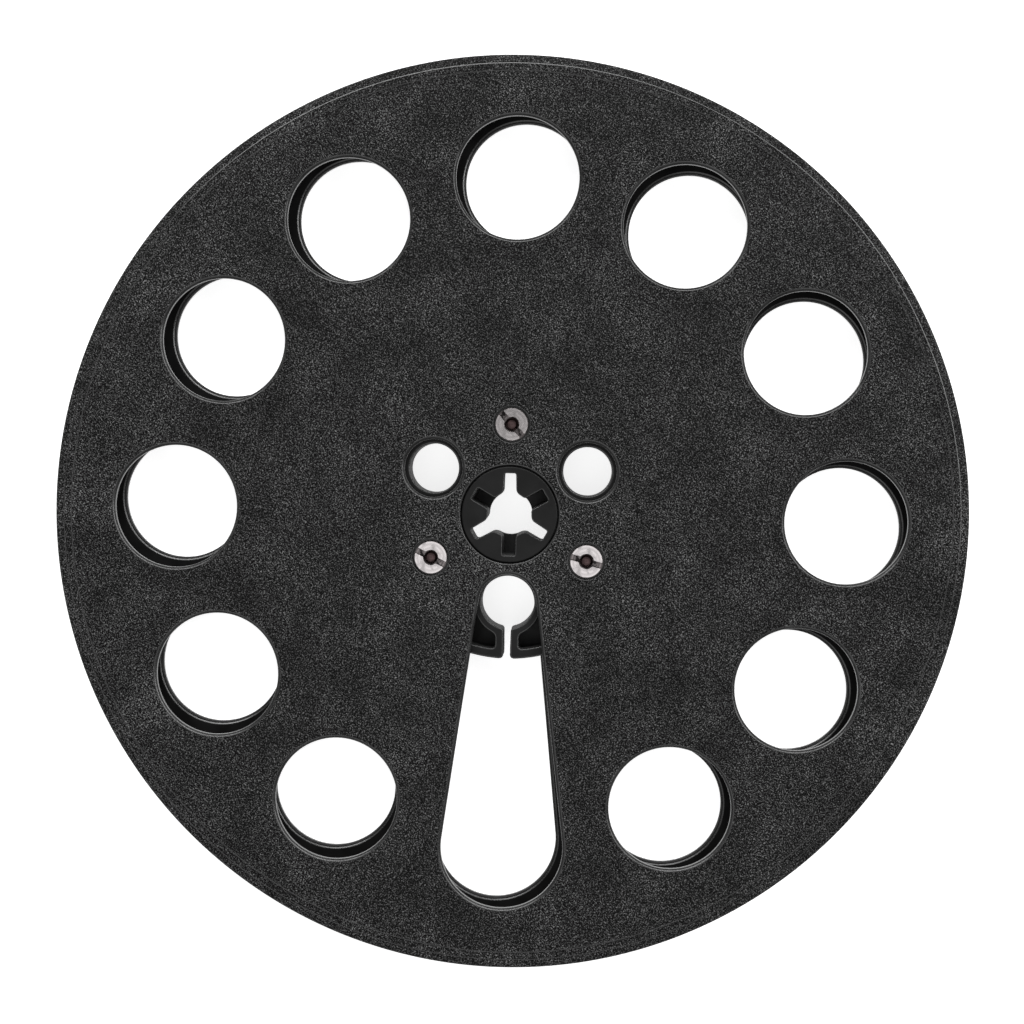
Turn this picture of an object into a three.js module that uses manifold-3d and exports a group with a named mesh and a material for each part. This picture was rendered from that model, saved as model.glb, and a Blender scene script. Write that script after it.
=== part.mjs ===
// A seven-inch open reel for quarter-inch tape, lying flat on its rear flange.
// Millimetres, +Z up. The origin is on the reel's axis, in the rear flange's outer face.
// Two equal flange mouldings clamp a hub between them. Three sleeve nuts come in from the
// front and three machine screws from the rear, all at the same three places.

import * as THREE from 'three';
import { mergeVertices } from 'three/addons/utils/BufferGeometryUtils.js';
import Module from 'manifold-3d';

const wasm = await Module();
wasm.setup();

// Reel
const REEL_RADIUS = 88.9;
const FLANGE_THICKNESS = 2.5;
const TAPE_GAP = 7;
const REEL_WIDTH = TAPE_GAP + 2 * FLANGE_THICKNESS;

// Flange: eleven windows and one tapered window share a ring of twelve places
const WINDOW_PLACES = 12;
const TAPERED_PLACE = 6;
const WINDOW_RING_RADIUS = 65.2;
const WINDOW_RADIUS = 11.92;
const WINDOW_CHAMFER = 0.5;
const REAR_FLANGE_TWIST = THREE.MathUtils.degToRad(-1.25);

// Flange rim, as radii and depths below the outer face. From the edge inwards: the rounded
// edge, a step, and a fine ridge between two shallow dips.
const RIM_PROFILE = [
  [REEL_RADIUS, 0.9], [88.84, 0.6], [88.5, 0.3], [87.24, 0.07], [87.06, 0],
  [86.65, 0], [86.1, 0.06], [85.94, 0], [85.76, 0], [85.6, 0.06], [84.9, 0],
];
const RIM_BACK_ROUND = 0.5;

// Small round holes of the flanges and the hub, at the places between the fasteners
const SMALL_HOLE_RING_RADIUS = 17.3;
const FLANGE_SMALL_HOLE_RADIUS = 5.65;
const HUB_SMALL_HOLE_RADIUS = 4.8;
const SMALL_HOLE_ANGLES = [30, 150].map(THREE.MathUtils.degToRad);
const THREADING_ANGLE = THREE.MathUtils.degToRad(270);

// Hub
const HUB_RADIUS = 28.4;
const HUB_WALL = 1.85;
const HUB_FLOOR = 1.5;
const TUBE_WALL = 1.45;
const RIB_THICKNESS = 1.5;
const THREADING_HOLE_RADIUS = 5.2;
const SLIT_INNER_WIDTH = 1.6;
const SLIT_OUTER_WIDTH = 1.25;
const SLIT_WALL = 1.7;

// Boss that stands through both flanges, and its spindle hole
const BOSS_RADIUS = 9.35;
const FLANGE_BOSS_HOLE_RADIUS = 9.55;
const SPINDLE_RADIUS = 4.25;
const SPINDLE_DRAFT = 0.003;
const SPLINE_REACH = 8;
const SPLINE_ROOT_WIDTH = 2.8;
const SPLINE_END_WIDTH = 2.2;
const GROOVE_WIDTH = 2.35;
const GROOVE_DEPTH = 9;

// Fasteners
const FASTENER_RING_RADIUS = 17.5;
const FASTENERS = [
  { name: 'top', angle: THREE.MathUtils.degToRad(90), slot: THREE.MathUtils.degToRad(-46.5) },
  { name: 'left', angle: THREE.MathUtils.degToRad(210), slot: THREE.MathUtils.degToRad(-25.9) },
  { name: 'right', angle: THREE.MathUtils.degToRad(330), slot: THREE.MathUtils.degToRad(-15.4) },
];
const COUNTERBORE_RADIUS = 3.55;
const COUNTERBORE_DEPTH = 1.5;
const FACE_RECESS = 0.1;
const NUT_HEAD_RADIUS = 3.2;
const NUT_BARREL_RADIUS = 2.1;
const NUT_BORE_RADIUS = 1.3;
const NUT_SLOT_WIDTH = 1;
const NUT_SLOT_DEPTH = 0.7;
const BARREL_HOLE_RADIUS = 2.45;
const BARREL_END_GAP = 0.3;
const POST_RADIUS = 4.2;
const SCREW_HEAD_RADIUS = 3;
const SCREW_SHANK_RADIUS = 1.1;
const SCREW_TIP_HEIGHT = 10.9;
const DRIVE_LENGTH = 3.2;
const DRIVE_WIDTH = 0.7;
const DRIVE_DEPTH = 0.8;

// How finely round shapes are faceted
const RIM_SEGMENTS = 72;
const HUB_SEGMENTS = 48;
const WINDOW_SEGMENTS = 28;
const SMALL_SEGMENTS = 20;

const OVERCUT = 1;

const flangePlastic = new THREE.MeshStandardMaterial({ color: 0x343434, roughness: 0.62, metalness: 0 });
const hubPlastic = new THREE.MeshStandardMaterial({ color: 0x242424, roughness: 0.4, metalness: 0 });
const nickel = new THREE.MeshStandardMaterial({ color: 0xc9c6c4, roughness: 0.18, metalness: 1 });
const zincSteel = new THREE.MeshStandardMaterial({ color: 0x8f8784, roughness: 0.35, metalness: 1 });

// ---------------------------------------------------------------- solids

function toSolid(geometry) {
  geometry.deleteAttribute('normal');
  geometry.deleteAttribute('uv');
  const merged = mergeVertices(geometry, 1e-4);
  return new wasm.Manifold(new wasm.Mesh({
    numProp: 3,
    vertProperties: merged.attributes.position.array,
    triVerts: new Uint32Array(merged.index.array),
  }));
}

function toGeometry(solid) {
  const mesh = solid.getMesh();
  const geometry = new THREE.BufferGeometry();
  geometry.setAttribute('position', new THREE.BufferAttribute(mesh.vertProperties, mesh.numProp));
  geometry.setIndex(new THREE.BufferAttribute(mesh.triVerts, 1));
  geometry.computeVertexNormals();
  return geometry;
}

const joined = (solids) => solids.reduce((whole, solid) => whole.add(solid));
const cut = (solid, cutters) => solid.subtract(joined(cutters));

function turned(points, segments) {
  const profile = points.map(([radius, height]) => new THREE.Vector2(radius, height));
  return new THREE.LatheGeometry(profile, segments).rotateX(Math.PI / 2);
}

function rod(radius, bottom, top, segments = SMALL_SEGMENTS) {
  return turned([[0, bottom], [radius, bottom], [radius, top], [0, top]], segments);
}

function ring(innerRadius, outerRadius, bottom, top, segments) {
  const profile = [
    [innerRadius, bottom], [outerRadius, bottom], [outerRadius, top], [innerRadius, top],
    [innerRadius, bottom],
  ];
  return turned(profile, segments);
}

// A slab of length along +X from the axis, turned to an angle about Z
function bar(start, end, width, bottom, top, angle) {
  return new THREE.BoxGeometry(end - start, width, top - bottom)
    .translate((start + end) / 2, 0, (bottom + top) / 2)
    .rotateZ(angle);
}

function atRadius(geometry, radius, angle) {
  return geometry.translate(radius * Math.cos(angle), radius * Math.sin(angle), 0);
}

function mesh(name, solid, material) {
  const part = new THREE.Mesh(toGeometry(solid), material);
  part.name = name;
  return part;
}

// ---------------------------------------------------------------- flange

// The rim's cross-section, from the axis at the inner face round to the axis at the outer face
function rimProfile() {
  const inner = [[0, 0], [REEL_RADIUS - RIM_BACK_ROUND, 0], [REEL_RADIUS, RIM_BACK_ROUND]];
  const outer = RIM_PROFILE.map(([radius, depth]) => [radius, FLANGE_THICKNESS - depth]);
  return [...inner, ...outer, [0, FLANGE_THICKNESS]];
}

// A window's cutter: straight walls, opened out by a chamfer at the flange's outer face.
// An arc in an outline is divided into twice curveSegments.
function windowCutter(outline) {
  const flare = new THREE.ExtrudeGeometry(outline, {
    depth: OVERCUT,
    bevelThickness: WINDOW_CHAMFER,
    bevelSize: WINDOW_CHAMFER,
    bevelSegments: 1,
    curveSegments: WINDOW_SEGMENTS / 2,
  }).translate(0, 0, FLANGE_THICKNESS);
  const shaft = new THREE.ExtrudeGeometry(outline, {
    depth: FLANGE_THICKNESS + OVERCUT,
    bevelEnabled: false,
    curveSegments: WINDOW_SEGMENTS / 2,
  }).translate(0, 0, -OVERCUT);
  return toSolid(flare).add(toSolid(shaft));
}

function roundOutline(radius, ringRadius, angle) {
  const outline = new THREE.Shape();
  const x = ringRadius * Math.cos(angle);
  const y = ringRadius * Math.sin(angle);
  outline.absarc(x, y, radius, 0, 2 * Math.PI);
  return outline;
}

// Two arcs and their common tangents, wide end towards the rim
function taperedOutline() {
  const span = WINDOW_RING_RADIUS - SMALL_HOLE_RING_RADIUS;
  const lean = Math.asin((WINDOW_RADIUS - FLANGE_SMALL_HOLE_RADIUS) / span);
  const outline = new THREE.Shape();
  outline.absarc(0, -SMALL_HOLE_RING_RADIUS, FLANGE_SMALL_HOLE_RADIUS, lean, Math.PI - lean);
  outline.absarc(0, -WINDOW_RING_RADIUS, WINDOW_RADIUS, Math.PI - lean, 2 * Math.PI + lean);
  return outline;
}

// Outer face up, inner face in the plane z = 0, tapered window towards -Y
function flangeSolid() {
  const disc = toSolid(turned(rimProfile(), RIM_SEGMENTS));
  const cutters = [windowCutter(taperedOutline())];
  for (let place = 0; place < WINDOW_PLACES; place++) {
    const angle = Math.PI / 2 - (2 * Math.PI * place) / WINDOW_PLACES;
    if (place !== TAPERED_PLACE) {
      cutters.push(windowCutter(roundOutline(WINDOW_RADIUS, WINDOW_RING_RADIUS, angle)));
    }
  }
  for (const angle of SMALL_HOLE_ANGLES) {
    const outline = roundOutline(FLANGE_SMALL_HOLE_RADIUS, SMALL_HOLE_RING_RADIUS, angle);
    cutters.push(windowCutter(outline));
  }
  cutters.push(toSolid(rod(FLANGE_BOSS_HOLE_RADIUS, -OVERCUT, FLANGE_THICKNESS + OVERCUT, HUB_SEGMENTS)));
  for (const { angle } of FASTENERS) {
    const through = rod(BARREL_HOLE_RADIUS, -OVERCUT, FLANGE_THICKNESS + OVERCUT);
    const floor = FLANGE_THICKNESS - COUNTERBORE_DEPTH;
    const counterbore = rod(COUNTERBORE_RADIUS, floor, FLANGE_THICKNESS + OVERCUT);
    cutters.push(toSolid(atRadius(through, FASTENER_RING_RADIUS, angle)));
    cutters.push(toSolid(atRadius(counterbore, FASTENER_RING_RADIUS, angle)));
  }
  return cut(disc, cutters);
}

// ---------------------------------------------------------------- hub

function slitOutline() {
  const outline = new THREE.Shape();
  const inner = SMALL_HOLE_RING_RADIUS;
  const outer = HUB_RADIUS + OVERCUT;
  outline.moveTo(-SLIT_INNER_WIDTH / 2, -inner);
  outline.lineTo(-SLIT_OUTER_WIDTH / 2, -outer);
  outline.lineTo(SLIT_OUTER_WIDTH / 2, -outer);
  outline.lineTo(SLIT_INNER_WIDTH / 2, -inner);
  outline.closePath();
  return outline;
}

// Everything of the hub that stands on its floor, at full height between the flanges
function hubWalls(bottom, top) {
  const walls = [ring(HUB_RADIUS - HUB_WALL, HUB_RADIUS, bottom, top, HUB_SEGMENTS)];
  for (const { angle } of FASTENERS) {
    walls.push(atRadius(rod(POST_RADIUS, bottom, top), FASTENER_RING_RADIUS, angle));
    walls.push(bar(0, HUB_RADIUS - HUB_WALL / 2, RIB_THICKNESS, bottom, top, angle));
  }
  for (const angle of SMALL_HOLE_ANGLES) {
    const tube = rod(HUB_SMALL_HOLE_RADIUS + TUBE_WALL, bottom, top);
    walls.push(atRadius(tube, SMALL_HOLE_RING_RADIUS, angle));
    walls.push(bar(0, HUB_RADIUS - HUB_WALL / 2, RIB_THICKNESS, bottom, top, angle));
  }
  const threadingTube = rod(THREADING_HOLE_RADIUS + TUBE_WALL, bottom, top);
  walls.push(atRadius(threadingTube, SMALL_HOLE_RING_RADIUS, THREADING_ANGLE));
  const slitWallWidth = SLIT_OUTER_WIDTH + 2 * SLIT_WALL;
  walls.push(bar(0, HUB_RADIUS - HUB_WALL / 2, slitWallWidth, bottom, top, THREADING_ANGLE));
  return walls.map(toSolid);
}

// The spindle hole's arm towards +X, narrower at its end
function splineOutline() {
  const outline = new THREE.Shape();
  outline.moveTo(0, -SPLINE_ROOT_WIDTH / 2);
  outline.lineTo(SPLINE_REACH, -SPLINE_END_WIDTH / 2);
  outline.lineTo(SPLINE_REACH, SPLINE_END_WIDTH / 2);
  outline.lineTo(0, SPLINE_ROOT_WIDTH / 2);
  outline.closePath();
  return outline;
}

// A round hole with three arms right through, all widening towards the rear face
function spindleCutter() {
  const depth = REEL_WIDTH + 2 * OVERCUT;
  const shapes = [toSolid(rod(SPINDLE_RADIUS, -OVERCUT, REEL_WIDTH + OVERCUT, HUB_SEGMENTS))];
  for (const { angle } of FASTENERS) {
    const arm = new THREE.ExtrudeGeometry(splineOutline(), { depth, bevelEnabled: false });
    shapes.push(toSolid(arm.translate(0, 0, -OVERCUT).rotateZ(angle)));
  }
  return joined(shapes).warp((point) => {
    const widening = 1 + SPINDLE_DRAFT * (REEL_WIDTH - point[2]);
    point[0] *= widening;
    point[1] *= widening;
  });
}

// Blind grooves in the front face, between the arms
function grooveCutters() {
  return FASTENERS.map(({ angle }) => toSolid(bar(0, SPLINE_REACH, GROOVE_WIDTH,
    REEL_WIDTH - GROOVE_DEPTH, REEL_WIDTH + OVERCUT, angle + Math.PI)));
}

function hubSolid() {
  const bottom = FLANGE_THICKNESS;
  const top = FLANGE_THICKNESS + TAPE_GAP;
  const floor = toSolid(rod(HUB_RADIUS - HUB_WALL / 2, bottom, bottom + HUB_FLOOR, HUB_SEGMENTS));
  const boss = toSolid(rod(BOSS_RADIUS, 0, REEL_WIDTH, HUB_SEGMENTS));
  const body = joined([floor, boss, ...hubWalls(bottom, top)]);
  const holes = [spindleCutter(), ...grooveCutters()];
  for (const { angle } of FASTENERS) {
    holes.push(toSolid(atRadius(rod(BARREL_HOLE_RADIUS, 0, REEL_WIDTH), FASTENER_RING_RADIUS, angle)));
  }
  for (const angle of SMALL_HOLE_ANGLES) {
    holes.push(toSolid(atRadius(rod(HUB_SMALL_HOLE_RADIUS, 0, REEL_WIDTH), SMALL_HOLE_RING_RADIUS, angle)));
  }
  const threadingHole = rod(THREADING_HOLE_RADIUS, 0, REEL_WIDTH, WINDOW_SEGMENTS);
  holes.push(toSolid(atRadius(threadingHole, SMALL_HOLE_RING_RADIUS, THREADING_ANGLE)));
  holes.push(toSolid(new THREE.ExtrudeGeometry(slitOutline(), { depth: REEL_WIDTH, bevelEnabled: false })));
  return cut(body, holes);
}

// ---------------------------------------------------------------- fasteners

function nutSolid(slotAngle) {
  const faceHeight = REEL_WIDTH - FACE_RECESS;
  const seatHeight = REEL_WIDTH - COUNTERBORE_DEPTH;
  const profile = [
    [NUT_BORE_RADIUS, FLANGE_THICKNESS + BARREL_END_GAP],
    [NUT_BARREL_RADIUS, FLANGE_THICKNESS + BARREL_END_GAP],
    [NUT_BARREL_RADIUS, seatHeight],
    [NUT_HEAD_RADIUS, seatHeight],
    [NUT_HEAD_RADIUS, faceHeight],
    [NUT_BORE_RADIUS, faceHeight],
    [NUT_BORE_RADIUS, FLANGE_THICKNESS + BARREL_END_GAP],
  ];
  const slot = bar(-NUT_HEAD_RADIUS - OVERCUT, NUT_HEAD_RADIUS + OVERCUT, NUT_SLOT_WIDTH,
    faceHeight - NUT_SLOT_DEPTH, faceHeight + OVERCUT, slotAngle);
  return toSolid(turned(profile, SMALL_SEGMENTS)).subtract(toSolid(slot));
}

function screwSolid() {
  const profile = [
    [0, FACE_RECESS], [SCREW_HEAD_RADIUS, FACE_RECESS], [SCREW_HEAD_RADIUS, COUNTERBORE_DEPTH],
    [SCREW_SHANK_RADIUS, COUNTERBORE_DEPTH], [SCREW_SHANK_RADIUS, SCREW_TIP_HEIGHT],
    [0, SCREW_TIP_HEIGHT],
  ];
  const drive = [0, Math.PI / 2].map((angle) => toSolid(bar(-DRIVE_LENGTH / 2, DRIVE_LENGTH / 2,
    DRIVE_WIDTH, FACE_RECESS - OVERCUT, FACE_RECESS + DRIVE_DEPTH, angle)));
  return cut(toSolid(turned(profile, SMALL_SEGMENTS)), drive);
}

// ---------------------------------------------------------------- assembly

const reel = new THREE.Group();

const frontFlange = mesh('front_flange', flangeSolid(), flangePlastic);
frontFlange.position.z = FLANGE_THICKNESS + TAPE_GAP;
reel.add(frontFlange);

const rearFlange = mesh('rear_flange', flangeSolid(), flangePlastic);
rearFlange.geometry.rotateY(Math.PI);
rearFlange.rotation.z = REAR_FLANGE_TWIST;
rearFlange.position.z = FLANGE_THICKNESS;
reel.add(rearFlange);

reel.add(mesh('hub', hubSolid(), hubPlastic));

for (const { name, angle, slot } of FASTENERS) {
  const nut = mesh(`barrel_nut_${name}`, nutSolid(slot), nickel);
  const screw = mesh(`screw_${name}`, screwSolid(), zincSteel);
  for (const fastener of [nut, screw]) {
    fastener.position.x = FASTENER_RING_RADIUS * Math.cos(angle);
    fastener.position.y = FASTENER_RING_RADIUS * Math.sin(angle);
    reel.add(fastener);
  }
}

export default reel;
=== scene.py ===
"""Looks of a seven-inch open tape reel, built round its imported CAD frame.

The reel lies flat with its front face up. Lengths in this file are millimetres, and MM turns
them into Blender's metres when points become vertices.
"""

import math

import bmesh
import bpy
import numpy as np
from mathutils import Matrix, Vector
from mathutils.geometry import delaunay_2d_cdt

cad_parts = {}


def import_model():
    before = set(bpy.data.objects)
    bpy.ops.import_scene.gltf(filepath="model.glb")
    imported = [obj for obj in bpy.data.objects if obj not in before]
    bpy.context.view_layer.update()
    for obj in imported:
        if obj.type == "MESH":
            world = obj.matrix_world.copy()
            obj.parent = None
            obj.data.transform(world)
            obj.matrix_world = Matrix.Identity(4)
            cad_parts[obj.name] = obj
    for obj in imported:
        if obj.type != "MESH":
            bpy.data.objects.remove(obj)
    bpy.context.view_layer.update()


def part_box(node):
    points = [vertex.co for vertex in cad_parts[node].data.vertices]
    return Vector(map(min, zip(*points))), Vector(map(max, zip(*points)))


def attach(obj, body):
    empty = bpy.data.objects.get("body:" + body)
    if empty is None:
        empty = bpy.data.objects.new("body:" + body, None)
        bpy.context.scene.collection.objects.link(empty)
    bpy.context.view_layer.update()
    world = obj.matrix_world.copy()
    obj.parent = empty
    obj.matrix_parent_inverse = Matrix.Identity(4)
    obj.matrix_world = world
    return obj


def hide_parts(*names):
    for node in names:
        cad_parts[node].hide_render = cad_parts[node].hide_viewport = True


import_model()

MM = 0.001
TAU = 2 * math.pi

# ---------------------------------------------------------------- driving dimensions
# The outer sizes come from the frame. The rest are the CAD's own, or finer detail of the looks.


def span(node, axis):
    low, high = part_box(node)
    return low[axis] / MM, high[axis] / MM


REEL_RADIUS = span("front_flange", 0)[1]
FRONT_INNER, FRONT_FACE = span("front_flange", 2)
REAR_FACE, REAR_INNER = span("rear_flange", 2)
THICKNESS = FRONT_FACE - FRONT_INNER
HUB_RADIUS = span("hub", 0)[1]

WINDOW_RING = 65.2
WINDOW_RADIUS = 11.92
WINDOW_PLACES = 12
TAPERED_PLACE = 6
REAR_TWIST = math.radians(-1.25)

RIM_RIDGE = 85.85
RIM_STEP = 87.15
RIM_RELIEF = 0.06
RIM_BACK = 0.5

HOLE_RING = 17.3
FLANGE_HOLE_RADIUS = 5.65
HUB_HOLE_RADIUS = 4.8
THREADING_RADIUS = 5.2

BOSS_RADIUS = 9.35
BOSS_HOLE_RADIUS = 9.55
SPINDLE_RADIUS = 4.25
SPLINE_REACH = 8.0
SPLINE_ROOT, SPLINE_END = 2.8, 2.2
GROOVE_WIDTH = 2.55
GROOVE_DEPTH = 9.0
SPINDLE_DRAFT = 0.025
GROOVE_DRAFT = 0.028

HUB_WALL = 1.85
HUB_FLOOR = 1.5
TUBE_WALL = 1.45
RIB = 1.5
SLIT_WALL = 1.7
SLIT_INNER, SLIT_OUTER = 1.6, 1.25
POST_RADIUS = 4.2

BOLT_RING = 17.5
BOLTS = {"top": (90, -46.5), "left": (210, -25.9), "right": (330, -15.4)}
HOLE_ANGLES = (30, 150)
BARREL_HOLE = 2.45
COUNTERBORE_RADIUS = 3.55
COUNTERBORE_DEPTH = 1.5

# ---------------------------------------------------------------- outlines
# An outline is (points, normals): a closed loop in the XY plane and, at each point, the
# direction out of the plastic.


def polar(radius, angle):
    return np.array([radius * math.cos(angle), radius * math.sin(angle)])


def arc(centre, radius, start, end, steps, hollow=True):
    """An open run of points round an arc, both ends included."""
    angles = np.linspace(start, end, steps + 1)
    out = np.stack([np.cos(angles), np.sin(angles)], 1)
    return np.array(centre) + radius * out, -out if hollow else out


def circle(centre, radius, steps, hollow=True):
    """hollow: the plastic is outside the circle."""
    points, normals = arc(centre, radius, 0.0, TAU, steps, hollow)
    return points[:-1], normals[:-1]


def tapered_window():
    """Two arcs and their common tangents, open towards the rim."""
    lean = math.asin((WINDOW_RADIUS - FLANGE_HOLE_RADIUS) / (WINDOW_RING - HOLE_RING))
    near = arc((0, -HOLE_RING), FLANGE_HOLE_RADIUS, lean, math.pi - lean, 56)
    far = arc((0, -WINDOW_RING), WINDOW_RADIUS, math.pi - lean, TAU + lean, 96)
    return tuple(np.vstack(part) for part in zip(near, far))


def inset(outline, distance):
    """The outline's points moved into the plastic: all alike, or each by its own distance."""
    points, normals = outline
    return points - np.reshape(distance, (-1, 1)) * normals


def turn(outline, angle):
    spin = np.array([[math.cos(angle), math.sin(angle)], [-math.sin(angle), math.cos(angle)]])
    return tuple(part @ spin for part in outline)


# ---------------------------------------------------------------- outlines from distance fields
# Each field gives, for points (x, y), a distance that is negative inside the shape.


def disc(x, y, centre, radius):
    return np.hypot(x - centre[0], y - centre[1]) - radius


def strip(x, y, angle, start, end, width):
    """A bar that runs outwards from start to end at an angle."""
    along = x * math.cos(angle) + y * math.sin(angle) - (start + end) / 2
    across = -x * math.sin(angle) + y * math.cos(angle)
    over_x = np.abs(along) - (end - start) / 2
    over_y = np.abs(across) - width / 2
    outside = np.hypot(np.maximum(over_x, 0), np.maximum(over_y, 0))
    return outside + np.minimum(np.maximum(over_x, over_y), 0)


def soft_min(a, b, blend):
    weight = np.maximum(blend - np.abs(a - b), 0) / blend
    return np.minimum(a, b) - weight * weight * blend / 4


def soft_max(a, b, blend):
    return -soft_min(-a, -b, blend)


def crossings(field, reach, step):
    """Chains of grid crossings of the field's zero line, by marching squares."""
    ticks = np.arange(-reach, reach + step / 2, step)
    grid_x, grid_y = np.meshgrid(ticks, ticks, indexing="ij")
    value = field(grid_x, grid_y)
    value[value == 0] = 1e-9
    inside = value < 0
    code = (inside[:-1, :-1] + 2 * inside[1:, :-1] + 4 * inside[1:, 1:] + 8 * inside[:-1, 1:])
    corners = ((0, 0), (1, 0), (1, 1), (0, 1))

    def crossing(i, j, side):
        a = (i + corners[side][0], j + corners[side][1])
        b = (i + corners[(side + 1) % 4][0], j + corners[(side + 1) % 4][1])
        share = value[a] / (value[a] - value[b])
        point = (ticks[a[0]] + share * (ticks[b[0]] - ticks[a[0]]),
                 ticks[a[1]] + share * (ticks[b[1]] - ticks[a[1]]))
        return (min(a, b), max(a, b)), point

    follow, place = {}, {}
    for i, j in zip(*np.nonzero((code > 0) & (code < 15))):
        flags = [bool(code[i, j] & (1 << corner)) for corner in range(4)]
        leaving = [side for side in range(4) if flags[side] and not flags[(side + 1) % 4]]
        entering = [side for side in range(4) if not flags[side] and flags[(side + 1) % 4]]
        for out_side, in_side in zip(leaving, entering):
            start, place[start] = crossing(i, j, out_side)
            end, place[end] = crossing(i, j, in_side)
            follow[start] = end
    while follow:
        first, current = follow.popitem()
        chain = [place[first]]
        while current != first:
            chain.append(place[current])
            current = follow.pop(current)
        yield np.array(chain)


def trace(field, reach, step, spacing):
    """The field's zero lines as outlines of evenly spaced points."""
    tiny = 1e-4

    def slope(points):
        x, y = points[:, 0], points[:, 1]
        grad = np.stack([field(x + tiny, y) - field(x - tiny, y),
                         field(x, y + tiny) - field(x, y - tiny)], 1) / (2 * tiny)
        return grad / np.maximum(np.linalg.norm(grad, axis=1, keepdims=True), 1e-9)

    outlines = []
    for chain in crossings(field, reach, step):
        closed = np.vstack([chain, chain[:1]])
        length = np.concatenate([[0], np.cumsum(np.linalg.norm(np.diff(closed, axis=0), axis=1))])
        count = max(12, int(round(length[-1] / spacing)))
        ticks = length[-1] * np.arange(count) / count
        points = np.stack([np.interp(ticks, length, closed[:, axis]) for axis in (0, 1)], 1)
        for _ in range(3):
            points = points - slope(points) * field(points[:, 0], points[:, 1])[:, None]
        outlines.append((points, slope(points)))
    return outlines


# ---------------------------------------------------------------- closed shells


class Shell:
    """Vertex loops joined by bands, and flat sheets between loops: one closed mesh.

    Heights count from base, upwards or downwards. New faces take the material slot in use,
    and the bands of tall walls take their own.
    """

    TALL = 0.9

    def __init__(self, base=0.0, way=1, wall_slot=0):
        self.mesh = bmesh.new()
        self.base = base
        self.way = way
        self.slot = 0
        self.wall_slot = wall_slot

    def loop(self, points, height):
        level = (self.base + self.way * height) * MM
        return [self.mesh.verts.new((x * MM, y * MM, level)) for x, y in points]

    def face(self, corners, slot=None):
        self.mesh.faces.new(corners).material_index = self.slot if slot is None else slot

    def band(self, first, second, slot=None):
        count = len(first)
        for i in range(count):
            j = (i + 1) % count
            self.face((first[i], first[j], second[j], second[i]), slot)

    def wall(self, outline, rings):
        """Bands through rings of (inset, height, and a slot if the next band has its own).

        Gives the first and the last loop.
        """
        loops = [self.loop(inset(outline, ring[0]), ring[1]) for ring in rings]
        for i in range(len(rings) - 1):
            tall = abs(rings[i + 1][1] - rings[i][1]) > self.TALL
            slot = self.wall_slot if tall else self.slot
            self.band(loops[i], loops[i + 1], rings[i][2] if len(rings[i]) > 2 else slot)
        return loops[0], loops[-1]

    def sheet(self, loops):
        """A flat sheet between loops that don't cross: inside an odd number of them."""
        verts = [vert for loop in loops for vert in loop]
        flat = [Vector((vert.co.x / MM, vert.co.y / MM)) for vert in verts]
        edges, start = [], 0
        for loop in loops:
            edges += [(start + i, start + (i + 1) % len(loop)) for i in range(len(loop))]
            start += len(loop)
        _, _, triangles, origins, _, _ = delaunay_2d_cdt(flat, edges, [], 0, 1e-7)
        corners = np.array([[origins[corner][0] for corner in face] for face in triangles])
        at = np.array([(point.x, point.y) for point in flat])
        middle = at[corners].mean(1)
        odd = np.zeros(len(middle), bool)
        for a, b in edges:
            (ax, ay), (bx, by) = at[a], at[b]
            if ay == by:
                continue
            spans = (middle[:, 1] < ay) != (middle[:, 1] < by)
            odd ^= spans & (middle[:, 0] < ax + (middle[:, 1] - ay) * (bx - ax) / (by - ay))
        for face in corners[odd]:
            self.face([verts[corner] for corner in face])

    def piece(self, name, materials, crease=35):
        bmesh.ops.recalc_face_normals(self.mesh, faces=self.mesh.faces)
        data = bpy.data.meshes.new(name)
        self.mesh.to_mesh(data)
        self.mesh.free()
        data.shade_smooth()
        data.set_sharp_from_angle(angle=math.radians(crease))
        for material in materials:
            data.materials.append(material)
        obj = bpy.data.objects.new(name, data)
        bpy.context.scene.collection.objects.link(obj)
        return obj


SUPPORT = 0.04


def rounded(height, radius, down, steps=5, support=SUPPORT):
    """Rings from a flat face over a rounded edge to a wall. down: -1 if the wall goes down."""
    rings = [(radius + support, height)]
    for i in range(steps + 1):
        angle = math.pi / 2 * i / steps
        drop = radius * (1 - math.cos(angle))
        rings.append((radius * (1 - math.sin(angle)), height + down * drop))
    return rings


def through(top, top_radius, bottom, bottom_radius):
    return rounded(top, top_radius, -1) + rounded(bottom, bottom_radius, 1)[::-1]


# ---------------------------------------------------------------- node helpers


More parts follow.
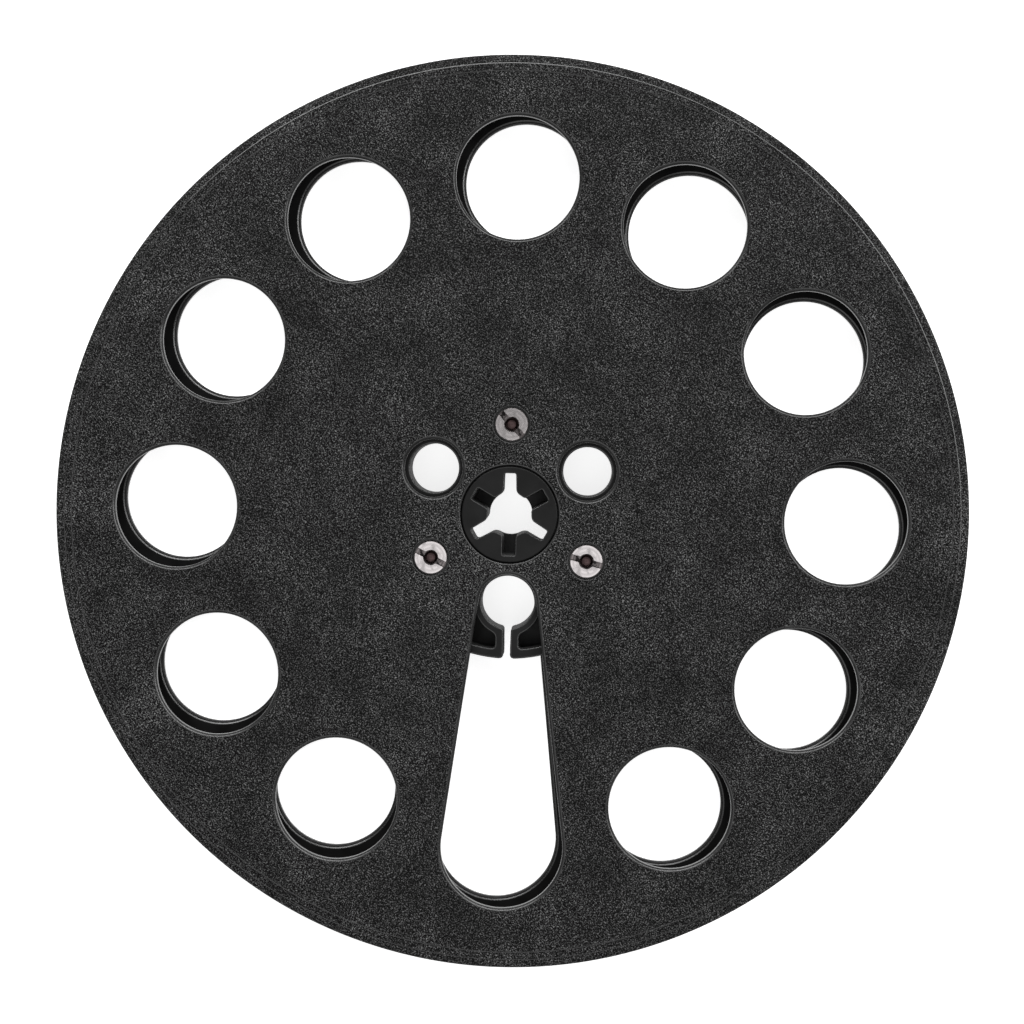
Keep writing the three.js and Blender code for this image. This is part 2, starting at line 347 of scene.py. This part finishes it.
class Nodes:
    """A material's node tree, with a short way to add a node and link its inputs."""

    def __init__(self, name):
        self.material = bpy.data.materials.new(name)
        self.material.use_nodes = True
        self.tree = self.material.node_tree
        self.shader = self.tree.nodes["Principled BSDF"]

    def add(self, kind, inputs=None, **settings):
        node = self.tree.nodes.new(kind)
        for key, value in settings.items():
            setattr(node, key, value)
        for key, value in (inputs or {}).items():
            self.feed(node.inputs[key], value)
        return node

    def feed(self, socket, value):
        if isinstance(value, bpy.types.NodeSocket):
            self.tree.links.new(value, socket)
        else:
            socket.default_value = value

    def math(self, operation, *values):
        node = self.add("ShaderNodeMath", operation=operation)
        for socket, value in zip(node.inputs, values):
            self.feed(socket, value)
        return node.outputs[0]

    def place(self):
        return self.add("ShaderNodeTexCoord").outputs["Object"]

    def noise(self, size, detail=2.0):
        """Noise whose features are about size millimetres across, askew to the axes."""
        askew = self.add("ShaderNodeMapping", {"Vector": self.place(), "Rotation": (0.7, 0.4, 0.9)})
        node = self.add("ShaderNodeTexNoise", {"Scale": 1 / (size * MM), "Detail": detail,
                                               "Vector": askew.outputs[0]})
        return node.outputs["Fac"]

    def ramp(self, value, low, high, to_low=0.0, to_high=1.0):
        node = self.add("ShaderNodeMapRange", {"Value": value, "From Min": low, "From Max": high,
                                               "To Min": to_low, "To Max": to_high})
        return node.outputs[0]

    def mix(self, share, first, second):
        node = self.add("ShaderNodeMix", data_type="RGBA")
        self.feed(node.inputs["Factor"], share)
        self.feed(node.inputs["A"], first)
        self.feed(node.inputs["B"], second)
        return node.outputs["Result"]

    def bump(self, height, depth, normal=None):
        """A bump whose full height is depth millimetres."""
        node = self.add("ShaderNodeBump", {"Height": height, "Distance": depth * MM,
                                           "Strength": 1.0})
        if normal:
            self.feed(node.inputs["Normal"], normal)
        return node.outputs[0]

    def principled(self, **inputs):
        for key, value in inputs.items():
            self.feed(self.shader.inputs[key.replace("_", " ")], value)
        return self.material


def grey(level):
    return (level, level, level, 1.0)


# ---------------------------------------------------------------- materials

GRAIN_SIZE = 0.25
GRAIN_DEPTH = 0.12


def grained_plastic():
    """Black plastic with a spark-eroded grain, paler in a streak from each window out to the rim
    and paler towards the centre.
    """
    n = Nodes("grained_black_plastic")
    grain = n.ramp(n.noise(GRAIN_SIZE, 1.0), 0.35, 0.7)
    grain = n.math("POWER", grain, 3.0)
    clouds = n.noise(9.0, 3.0)
    split = n.add("ShaderNodeSeparateXYZ", {"Vector": n.place()})
    x, y = split.outputs["X"], split.outputs["Y"]
    radius = n.math("DIVIDE", n.math("SQRT", n.math("ADD", n.math("MULTIPLY", x, x),
                                                    n.math("MULTIPLY", y, y))), MM)
    angle = n.math("ARCTAN2", y, x)
    spoke = n.math("COSINE", n.math("MULTIPLY", angle, float(WINDOW_PLACES)))
    spoke = n.ramp(spoke, 0.72, 1.0)
    outside = n.ramp(radius, WINDOW_RING + WINDOW_RADIUS - 3, WINDOW_RING + WINDOW_RADIUS + 3)
    streak = n.math("MULTIPLY", n.math("MULTIPLY", spoke, outside), n.ramp(clouds, 0.3, 0.7))
    halo = n.ramp(radius, 24.0, 11.0)
    pale = n.math("ADD", n.math("MULTIPLY", streak, 0.4), n.math("MULTIPLY", halo, 0.15))
    pale = n.math("ADD", pale, n.ramp(clouds, 0.3, 0.7, 0.45, 0.95))
    colour = n.mix(n.math("MULTIPLY", grain, pale), grey(0.0), grey(0.27))
    rough = n.ramp(grain, 0.0, 1.0, 0.62, 0.44)
    normal = n.bump(grain, GRAIN_DEPTH)
    normal = n.bump(clouds, 0.05, normal)
    return n.principled(Base_Color=colour, Roughness=rough, Normal=normal, Specular_IOR_Level=0.12)


def smooth_plastic(name, level, roughness, specular=0.5):
    """The same plastic off a polished mould face: faint flow marks and a soft ripple."""
    n = Nodes(name)
    flow = n.noise(5.0, 4.0)
    fine = n.noise(0.35, 2.0)
    colour = n.mix(n.ramp(flow, 0.38, 0.62), grey(level * 0.6), grey(level * 1.5))
    rough = n.ramp(fine, 0.3, 0.7, roughness - 0.05, roughness + 0.06)
    normal = n.bump(fine, 0.0035)
    normal = n.bump(flow, 0.04, normal)
    return n.principled(Base_Color=colour, Roughness=rough, Normal=normal,
                        Specular_IOR_Level=specular)


def turned_metal(name, colour, roughness, pitch, depth, dullest=0.8):
    """Plated metal with concentric turning marks and patches as dark as dullest."""
    n = Nodes(name)
    split = n.add("ShaderNodeSeparateXYZ", {"Vector": n.place()})
    x, y = split.outputs["X"], split.outputs["Y"]
    radius = n.math("SQRT", n.math("ADD", n.math("MULTIPLY", x, x), n.math("MULTIPLY", y, y)))
    wobble = n.math("MULTIPLY", n.noise(2.5, 1.0), 0.05 * MM)
    turns = n.math("MULTIPLY", n.math("ADD", radius, wobble), TAU / (pitch * MM))
    marks = n.ramp(n.math("SINE", turns), -1.0, 1.0)
    patches = n.noise(1.1, 3.0)
    dull = tuple(dullest * part for part in colour) + (1.0,)
    worn = n.math("MAXIMUM", n.ramp(patches, 0.45, 0.6), n.math("MULTIPLY", marks, 0.6))
    tint = n.mix(worn, (*colour, 1.0), dull)
    rough = n.ramp(patches, 0.35, 0.75, roughness, roughness + 0.06)
    normal = n.bump(marks, depth)
    return n.principled(Base_Color=tint, Metallic=1.0, Roughness=rough, Normal=normal)


grained = grained_plastic()
edge_plastic = smooth_plastic("polished_black_plastic", 0.016, 0.28, 0.75)
# A darker, duller copy of the plastic for the inner faces and the core side of the windows: their
# own matte finish, with the colour darkened as painted shade of the gap between the flanges.
inner_shade_plastic = smooth_plastic("black_plastic_painted_shade_inner", 0.005, 0.65, 0.15)
hub_plastic = smooth_plastic("satin_black_plastic", 0.005, 0.48, 0.26)
# A paler copy of the hub plastic for its deep walls, pocket floors and groove floors: painted fill
# light, so the deep places don't go black.
painted_fill_plastic = smooth_plastic("black_plastic_painted_fill_deep", 0.028, 0.6, 0.3)
nickel = turned_metal("bright_nickel", (0.88, 0.83, 0.83), 0.16, 0.8, 0.0008, 0.62)
# A dark copy of the nickel for the nuts' slots, bores, edges and tall walls: painted shade, kept
# dull so the fine edges don't glint.
painted_shade_nickel = turned_metal("nickel_painted_shade", (0.3, 0.27, 0.27), 0.22, 0.6, 0.001, 0.08)
steel = turned_metal("dull_plated_steel", (0.14, 0.095, 0.095), 0.4, 0.5, 0.002, 0.5)

# ---------------------------------------------------------------- flange

WINDOW_EDGE = 0.5
INNER_EDGE = 0.62
SMALL_EDGE = 0.15
BOSS_HOLE_EDGE = 0.3
GRAINED, POLISHED, INNER = 0, 1, 2


def rim_rings():
    """The rim from the outer face's sheet round to the inner face's.

    A fine ridge stands between two shallow dips, then come a step and the rounded edge. The
    ridge and the step are given as (distance out from the line, drop, slot), and the edge as
    (distance in from the reel's edge, drop).
    """
    flank, crest, dip = 0.16, 0.07, 0.9
    ridge = [(-dip, 0, GRAINED), (-crest - flank, RIM_RELIEF, POLISHED), (-crest, 0, GRAINED),
             (crest, 0, GRAINED), (crest + flank, RIM_RELIEF, GRAINED), (dip - 0.1, 0, GRAINED)]
    step = [(-flank / 2 - 0.04, 0, GRAINED), (-flank / 2, 0.005, POLISHED),
            (flank / 2, RIM_RELIEF, GRAINED), (flank / 2 + 0.04, 0.07, GRAINED)]
    edge = [(0.9, 0.18), (0.5, 0.27), (0.25, 0.4), (0.1, 0.6), (0.02, 0.85), (0, 1.1)]
    rings = [(REEL_RADIUS - RIM_RIDGE - out, THICKNESS - drop, slot) for out, drop, slot in ridge]
    rings += [(REEL_RADIUS - RIM_STEP - out, THICKNESS - drop, slot) for out, drop, slot in step]
    rings += [(inwards, THICKNESS - drop, GRAINED) for inwards, drop in edge]
    return rings + rounded(0, RIM_BACK, 1)[::-1]


def window_rings():
    """A window's wall from the outer face to the inner one.

    A fine step in the outer face, a chamfer, the parting line, and a drafted half that opens
    to a broad inner edge. The step and the chamfer are given as (distance, drop).
    """
    step = [(0.1, 0), (0.06, 0), (-0.09, 0.062), (-0.12, 0.08)]
    chamfer = [(0.09, 0.27), (0.03, 0.36), (0, 0.5)]
    drops = [(WINDOW_EDGE + out, drop) for out, drop in step] + chamfer
    middle = THICKNESS / 2
    core_side = [(0, middle), (0.06, middle - 0.06), (0.12, 0.5), (0.17, 0.34), (0.3, 0.16)]
    # The core side of the wall takes the darkened inner plastic: painted shade on the wall's lower
    # half.
    back = [(*ring, INNER) for ring in core_side]
    back += [(0.36, 0.12), (0.56, 0.035), (INNER_EDGE, 0), (INNER_EDGE + SUPPORT, 0)]
    return [(inwards, THICKNESS - drop) for inwards, drop in drops] + back


def flange(name, inner, face, twist):
    shell = Shell(inner, 1 if face > inner else -1, POLISHED)
    shell.slot = POLISHED
    outer_loops, inner_loops = [], []

    def keep(loops):
        outer_loops.append(loops[0])
        inner_loops.append(loops[1])

    keep(shell.wall(circle((0, 0), REEL_RADIUS, 288, hollow=False), rim_rings()))
    edge = window_rings()
    for place in range(WINDOW_PLACES):
        if place != TAPERED_PLACE:
            centre = polar(WINDOW_RING, math.pi / 2 - TAU * place / WINDOW_PLACES)
            keep(shell.wall(turn(circle(centre, WINDOW_RADIUS, 96), twist), edge))
    keep(shell.wall(turn(tapered_window(), twist), edge))
    for degrees in HOLE_ANGLES:
        hole = circle(polar(HOLE_RING, math.radians(degrees)), FLANGE_HOLE_RADIUS, 64)
        keep(shell.wall(turn(hole, twist), edge))
    boss_hole = circle((0, 0), BOSS_HOLE_RADIUS, 128)
    keep(shell.wall(boss_hole, through(THICKNESS, BOSS_HOLE_EDGE, 0, SMALL_EDGE)))
    floor = THICKNESS - COUNTERBORE_DEPTH
    for degrees, _ in BOLTS.values():
        centre = polar(BOLT_RING, math.radians(degrees))
        bore = turn(circle(centre, COUNTERBORE_RADIUS, 64), twist)
        hole = turn(circle(centre, BARREL_HOLE, 48), twist)
        top, foot = shell.wall(bore, rounded(THICKNESS, SMALL_EDGE, -1) + [(0, floor)])
        mouth, bottom = shell.wall(hole, [(0, floor), (0, 0)])
        shell.sheet([foot, mouth])
        outer_loops.append(top)
        inner_loops.append(bottom)
    # The inner faces take the darkened inner plastic: their own matte finish, darkened as painted
    # shade of the gap between the flanges.
    shell.slot = INNER
    shell.sheet(inner_loops)
    shell.slot = GRAINED
    shell.sheet(outer_loops)
    piece = shell.piece(name + "_moulding", (grained, edge_plastic, inner_shade_plastic))
    finish(piece, name)


def finish(piece, node):
    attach(piece, "root")
    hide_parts(node)


flange("front_flange", FRONT_INNER, FRONT_FACE, 0.0)
flange("rear_flange", REAR_INNER, REAR_FACE, REAR_TWIST)

# ---------------------------------------------------------------- hub

LEDGE = 0.02  # how far a lower outline stands clear of the one above it
BLEND = 0.8  # how softly the walls run into each other
HUB_EDGE = 0.25
BOSS_EDGE = 0.3
MOUTH_EDGE, REAR_MOUTH_EDGE = 0.16, 0.2
GROOVE_BAND = 7.5  # a height at which the spindle hole's drafted wall gets a ring
SATIN, DEEP, LIP = 0, 1, 2
ARM_ANGLES = [math.radians(degrees) for degrees, _ in BOLTS.values()]


def arms(x, y):
    """The spindle hole with its three arms: flared roots, rounded ends."""
    field = disc(x, y, (0, 0), SPINDLE_RADIUS)
    for angle in ARM_ANGLES:
        along = x * math.cos(angle) + y * math.sin(angle)
        width = SPLINE_ROOT + (SPLINE_END - SPLINE_ROOT) * np.clip(along / SPLINE_REACH, 0, 1.2)
        across = np.abs(-x * math.sin(angle) + y * math.cos(angle))
        half = SPLINE_REACH / 2
        sides = soft_max(across - width / 2, np.abs(along - half) - half, 0.4)
        field = soft_min(field, sides, 0.9)
    return field


def star(x, y):
    """The same with the three grooves between the arms."""
    field = arms(x, y)
    for angle in ARM_ANGLES:
        groove = strip(x, y, angle + math.pi, 0, SPLINE_REACH - 0.3, GROOVE_WIDTH - 0.6) - 0.3
        field = soft_min(field, groove, 0.5)
    return field


def threading(x, y):
    """The threading hole and the slit that opens it to the hub's surface."""
    run = (-y - HOLE_RING) / (HUB_RADIUS - HOLE_RING)
    width = SLIT_INNER + (SLIT_OUTER - SLIT_INNER) * np.clip(run, 0, 1.2)
    slit = np.maximum(np.abs(x) - width / 2, y + HOLE_RING)
    return soft_min(disc(x, y, (0, -HOLE_RING), THREADING_RADIUS), slit, 0.6)


def hub_walls(x, y):
    """Everything that stands between the hub's floor and the front flange."""
    reach = HUB_RADIUS - HUB_WALL / 2
    walls = np.abs(np.hypot(x, y) - reach) - HUB_WALL / 2
    collar = BOSS_RADIUS + HUB_EDGE + SUPPORT + LEDGE
    walls = soft_min(walls, disc(x, y, (0, 0), collar), BLEND)
    for degrees, _ in BOLTS.values():
        angle = math.radians(degrees)
        walls = soft_min(walls, disc(x, y, polar(BOLT_RING, angle), POST_RADIUS), BLEND)
        walls = soft_min(walls, strip(x, y, angle, 0, reach, RIB), BLEND)
    for degrees in HOLE_ANGLES:
        angle = math.radians(degrees)
        small_tube = disc(x, y, polar(HOLE_RING, angle), HUB_HOLE_RADIUS + TUBE_WALL)
        walls = soft_min(walls, small_tube, BLEND)
        walls = soft_min(walls, strip(x, y, angle, 0, reach, RIB), BLEND)
    tube = disc(x, y, (0, -HOLE_RING), THREADING_RADIUS + TUBE_WALL)
    lips = strip(x, y, -math.pi / 2, HOLE_RING, reach, SLIT_OUTER + 2 * SLIT_WALL)
    walls = soft_min(walls, soft_min(tube, lips, BLEND), BLEND)
    return hub_holes(walls, x, y, 0.0)


def hub_floor(x, y):
    return hub_holes(disc(x, y, (0, 0), HUB_RADIUS + LEDGE), x, y, LEDGE)


def hub_holes(solid, x, y, shrink):
    solid = soft_max(solid, -shrink - threading(x, y), 1.0)
    for degrees, _ in BOLTS.values():
        centre = polar(BOLT_RING, math.radians(degrees))
        solid = np.maximum(solid, -shrink - disc(x, y, centre, BARREL_HOLE))
    for degrees in HOLE_ANGLES:
        centre = polar(HOLE_RING, math.radians(degrees))
        solid = np.maximum(solid, -shrink - disc(x, y, centre, HUB_HOLE_RADIUS))
    return solid


def draft(outline, height):
    """How far each point has moved at a height: arms widen with depth, grooves narrow."""
    x, y = outline[0].T
    turn_share = np.cos(3 * (np.arctan2(y, x) - ARM_ANGLES[0]))
    groove_share = -np.minimum(turn_share, 0) * np.clip(np.hypot(x, y) - SPINDLE_RADIUS - 0.1, 0, 1)
    slope = SPINDLE_DRAFT * np.maximum(turn_share, 0) - GROOVE_DRAFT * groove_share
    return slope * (FRONT_FACE - height)


def hub():
    """Walls on a floor, and a boss that stands through both flanges."""
    # Tall walls take the paler deep plastic: painted fill light in the hub's deep places.
    shell = Shell(wall_slot=DEEP)
    floor_top = REAR_INNER + HUB_FLOOR
    groove_floor = FRONT_FACE - GROOVE_DEPTH
    walls = trace(hub_walls, HUB_RADIUS + 1, 0.2, 0.25)
    floor = trace(hub_floor, HUB_RADIUS + 1, 0.2, 0.25)
    front_star, = trace(lambda x, y: -star(x, y), SPLINE_REACH + 1, 0.1, 0.12)
    rear_star, = trace(lambda x, y: -arms(x, y) - LEDGE, SPLINE_REACH + 1, 0.1, 0.12)
    boss = circle((0, 0), BOSS_RADIUS, 160, hollow=False)

    def stack(outlines, rings):
        return zip(*[shell.wall(outline, rings) for outline in outlines])

    def lipped(height, radius, steps=5):
        """A rounded upper edge in the lip's slot."""
        rings = rounded(height, radius, -1, steps)
        return [(*ring, LIP) for ring in rings[:-1]] + [(0, height - radius)]

    wall_tops, wall_feet = stack(walls, lipped(FRONT_INNER, HUB_EDGE) + [(0, floor_top)])
    foot = rounded(REAR_INNER, HUB_EDGE, 1)[::-1]
    floor_tops, floor_feet = stack(floor, [(0, floor_top)] + foot)
    # The pocket floors take the paler deep plastic too: painted fill light.
    shell.slot = DEEP
    shell.sheet([*wall_feet, *floor_tops])
    shell.slot = SATIN

    front = rounded(FRONT_FACE, BOSS_EDGE, -1) + [(0, FRONT_INNER)]
    rear = rounded(REAR_FACE, BOSS_EDGE, 1) + [(0, REAR_INNER)]
    front_end, front_root = shell.wall(boss, front)
    rear_end, rear_root = shell.wall(boss, rear)
    shell.sheet([*wall_tops, front_root])
    shell.sheet([*floor_feet, rear_root])

    sides = [(draft(front_star, height), height) for height in (GROOVE_BAND, groove_floor)]
    star_mouth, star_foot = shell.wall(front_star, lipped(FRONT_FACE, MOUTH_EDGE, 4) + sides)
    shell.sheet([front_end, star_mouth])
    sides = [(draft(rear_star, height), height) for height in (groove_floor, BOSS_EDGE)]
    lip = [(sides[-1][0] + distance, height)
           for distance, height in rounded(REAR_FACE, REAR_MOUTH_EDGE, 1, 3)[::-1]]
    arms_top, arms_foot = shell.wall(rear_star, sides + lip)
    # The groove floors take the paler deep plastic: painted fill light.
    shell.slot = DEEP
    shell.sheet([star_foot, arms_top])
    shell.slot = SATIN
    shell.sheet([rear_end, arms_foot])
    piece = shell.piece("hub_moulding", (hub_plastic, painted_fill_plastic, edge_plastic))
    finish(piece, "hub")


hub()

# ---------------------------------------------------------------- fasteners

NUT_FACE = FRONT_FACE - 0.1
NUT_RADIUS = 3.2
NUT_BARREL = 2.1
NUT_BORE = 1.3
NUT_SLOT = 1.0
NUT_SLOT_FLOOR = NUT_FACE - 0.7
NUT_EDGE = 0.09
SCREW_FACE = 0.1
SCREW_RADIUS = 3.0
SCREW_ROUND = 0.45
SCREW_CORE = 1.08
RECESS_REACH, RECESS_WIDTH, RECESS_ROUND, RECESS_DEPTH = 1.35, 0.3, 0.22, 0.8
HEAD_SEAT = COUNTERBORE_DEPTH
THREAD_PITCH = 0.5
THREAD_DEPTH = 0.2
NICKEL, BORE = 0, 1


def thread(radius, start, end):
    """Rings of a screw thread from start to end: (radius, height)."""
    turns = int(abs(end - start) / THREAD_PITCH)
    step = (end - start) / (2 * turns)
    return [(radius + THREAD_DEPTH * (i % 2), start + i * step) for i in range(2 * turns + 1)]


def nut(name, angle, slot_angle):
    """A sleeve nut: slotted head, threaded bore, plain barrel."""
    # The nut's edges, slot walls and tall walls take the dark copy of the nickel: painted shade.
    shell = Shell(wall_slot=BORE)
    shell.slot = BORE
    slot = math.radians(slot_angle)

    def halves(x, y):
        head = soft_max(disc(x, y, (0, 0), NUT_RADIUS), NUT_BORE + 0.1 - np.hypot(x, y), 0.02)
        return soft_max(head, -strip(x, y, slot, -5, 5, NUT_SLOT), 0.25)

    edge = rounded(NUT_FACE, NUT_EDGE, -1, 4, 0.015) + [(0, NUT_SLOT_FLOOR)]
    tops, feet = zip(*[shell.wall(half, edge)
                       for half in trace(halves, NUT_RADIUS + 0.5, 0.05, 0.07)])
    shell.slot = NICKEL
    for top in tops:
        shell.sheet([top])
    # The slot floors, the head's rim and the threaded bore take the dark nickel too: painted shade.
    shell.slot = BORE
    seat = FRONT_FACE - COUNTERBORE_DEPTH
    end = REAR_INNER + 0.3
    head_rings = [(0, NUT_SLOT_FLOOR)] + rounded(seat, 0.1, 1, 3)[::-1]
    rim_top, rim_foot = shell.wall(circle((0, 0), NUT_RADIUS + LEDGE, 96, False), head_rings)
    neck, barrel_end = shell.wall(circle((0, 0), NUT_BARREL, 64, False),
                                  [(0, seat)] + rounded(end, 0.15, 1, 3)[::-1])
    bore_rings = [(radius - NUT_BORE, height)
                  for radius, height in thread(NUT_BORE, NUT_SLOT_FLOOR, end)]
    mouth, bottom = shell.wall(circle((0, 0), NUT_BORE, 64), bore_rings)
    shell.sheet([rim_top, mouth, *feet])
    shell.slot = NICKEL
    shell.sheet([rim_foot, neck])
    shell.sheet([barrel_end, bottom])
    piece = shell.piece(f"nut_{name}", (nickel, painted_shade_nickel))
    bolt_down(piece, f"barrel_nut_{name}", angle)


def bolt_down(piece, node, angle):
    x, y = polar(BOLT_RING * MM, math.radians(angle))
    piece.location = (x, y, 0)
    finish(piece, node)


def screw(name, angle):
    """A cross-recessed machine screw that comes in from the rear face."""
    shell = Shell()
    tip = span("screw_" + name, 2)[1]

    def recess(x, y):
        across, down = (strip(x, y, bar, -RECESS_REACH, RECESS_REACH, RECESS_WIDTH) - RECESS_ROUND
                        for bar in (0, math.pi / 2))
        return -soft_min(across, down, 0.3)

    cross, = trace(recess, 2.5, 0.05, 0.08)
    recess_rings = [(0.06, SCREW_FACE), (0, SCREW_FACE + 0.06), (-0.15, SCREW_FACE + RECESS_DEPTH)]
    cross_top, cross_foot = shell.wall(cross, recess_rings)
    head_rings = rounded(SCREW_FACE, SCREW_ROUND, 1, 6) + rounded(HEAD_SEAT, 0.08, -1, 2)[::-1]
    head_top, head_foot = shell.wall(circle((0, 0), SCREW_RADIUS, 96, False), head_rings)
    shank = [(SCREW_CORE - radius, height)
             for radius, height in thread(SCREW_CORE, HEAD_SEAT, tip - 0.4)]
    shank += [(0.25, tip - 0.02), (0.35, tip)]
    neck, end = shell.wall(circle((0, 0), SCREW_CORE, 48, False), shank)
    shell.sheet([cross_foot])
    shell.sheet([head_top, cross_top])
    shell.sheet([head_foot, neck])
    shell.sheet([end])
    bolt_down(shell.piece(f"machine_screw_{name}", (steel,)), f"screw_{name}", angle)


for bolt_name, (bolt_angle, driver_angle) in BOLTS.items():
    nut(bolt_name, bolt_angle, driver_angle)
    screw(bolt_name, bolt_angle)

# ---------------------------------------------------------------- camera, floor, light

CAMERA_DISTANCE = 384.0
CAMERA_LENS = 69.59
CAMERA_TILT = (math.radians(1.8), math.radians(1.94))
CAMERA_AIM = (0.49, 0.49)
CAMERA_ROLL = math.radians(1.398)
TABLE_HALF = 30.0  # metres, so that the horizon stays plain
TABLE_DROP = 0.05
TABLE_GLOW = 0.8
WORLD_STRENGTH = 0.2


def camera():
    """Looks down on the front face, a little off the axis, rolled as a hand-held camera."""
    face = Vector((0, 0, FRONT_FACE))
    lean = Vector((math.tan(CAMERA_TILT[0]), math.tan(CAMERA_TILT[1]), 1))
    roll = Matrix.Rotation(CAMERA_ROLL, 3, "Z")
    position = roll @ (face + lean * CAMERA_DISTANCE)
    target = roll @ (face + Vector((*CAMERA_AIM, 0)))
    forward = (target - position).normalized()
    up = roll @ Vector((0, 1, 0))
    right = forward.cross(up).normalized()
    rotation = Matrix((right, right.cross(forward), -forward)).transposed()
    data = bpy.data.cameras.new("camera")
    data.lens = CAMERA_LENS
    data.sensor_width = 36.0
    data.clip_start = 0.01
    data.clip_end = 50.0
    obj = bpy.data.objects.new("camera", data)
    obj.matrix_world = Matrix.Translation(position * MM) @ rotation.to_4x4()
    bpy.context.scene.collection.objects.link(obj)
    bpy.context.scene.camera = obj


def soft_light(name, position, target, size, power):
    """A rectangular panel, its place and size in metres."""
    data = bpy.data.lights.new(name, "AREA")
    data.shape = "RECTANGLE"
    data.size, data.size_y = size
    data.energy = power
    obj = bpy.data.objects.new(name, data)
    obj.location = position
    obj.rotation_euler = (Vector(target) - Vector(position)).to_track_quat("-Z", "Y").to_euler()
    bpy.context.scene.collection.objects.link(obj)


def floor():
    """A pale table that glows a little, like a light table, so that no hole goes grey."""
    n = Nodes("pale_table")
    tone = n.mix(n.noise(60.0, 3.0), grey(0.86), grey(0.9))
    material = n.principled(Base_Color=tone, Roughness=0.7, Emission_Color=grey(1.0),
                            Emission_Strength=TABLE_GLOW)
    data = bpy.data.meshes.new("table")
    half, level = TABLE_HALF, -TABLE_DROP * MM
    corners = [(-half, -half, level), (half, -half, level),
               (half, half, level), (-half, half, level)]
    data.from_pydata(corners, [], [(0, 1, 2, 3)])
    data.materials.append(material)
    obj = bpy.data.objects.new("table", data)
    bpy.context.scene.collection.objects.link(obj)


def world():
    surroundings = bpy.data.worlds.new("surroundings")
    surroundings.use_nodes = True
    tree = surroundings.node_tree
    background = tree.nodes["Background"]
    background.inputs["Strength"].default_value = WORLD_STRENGTH
    direction = tree.nodes.new("ShaderNodeTexCoord")
    split = tree.nodes.new("ShaderNodeSeparateXYZ")
    sky = tree.nodes.new("ShaderNodeMapRange")
    sky.inputs["From Min"].default_value = -0.05
    sky.inputs["From Max"].default_value = 0.05
    sky.inputs["To Min"].default_value = 0.05
    sky.inputs["To Max"].default_value = 1.0
    tree.links.new(direction.outputs["Generated"], split.inputs["Vector"])
    tree.links.new(split.outputs["Z"], sky.inputs["Value"])
    tree.links.new(sky.outputs["Result"], background.inputs["Color"])
    bpy.context.scene.world = surroundings


camera()
floor()
world()
soft_light("overhead_panel", (-0.4, -0.6, 1.0), (-0.4, -0.6, 0), (1.6, 1.2), 4.5)
soft_light("key_right", (0.72, 0.42, 0.78), (0, 0, 0.01), (1.2, 0.25), 6.2)
soft_light("key_top", (-0.18, 0.83, 0.78), (0, 0, 0.01), (1.2, 0.25), 8.0)
bpy.context.scene.view_settings.view_transform = "Standard"
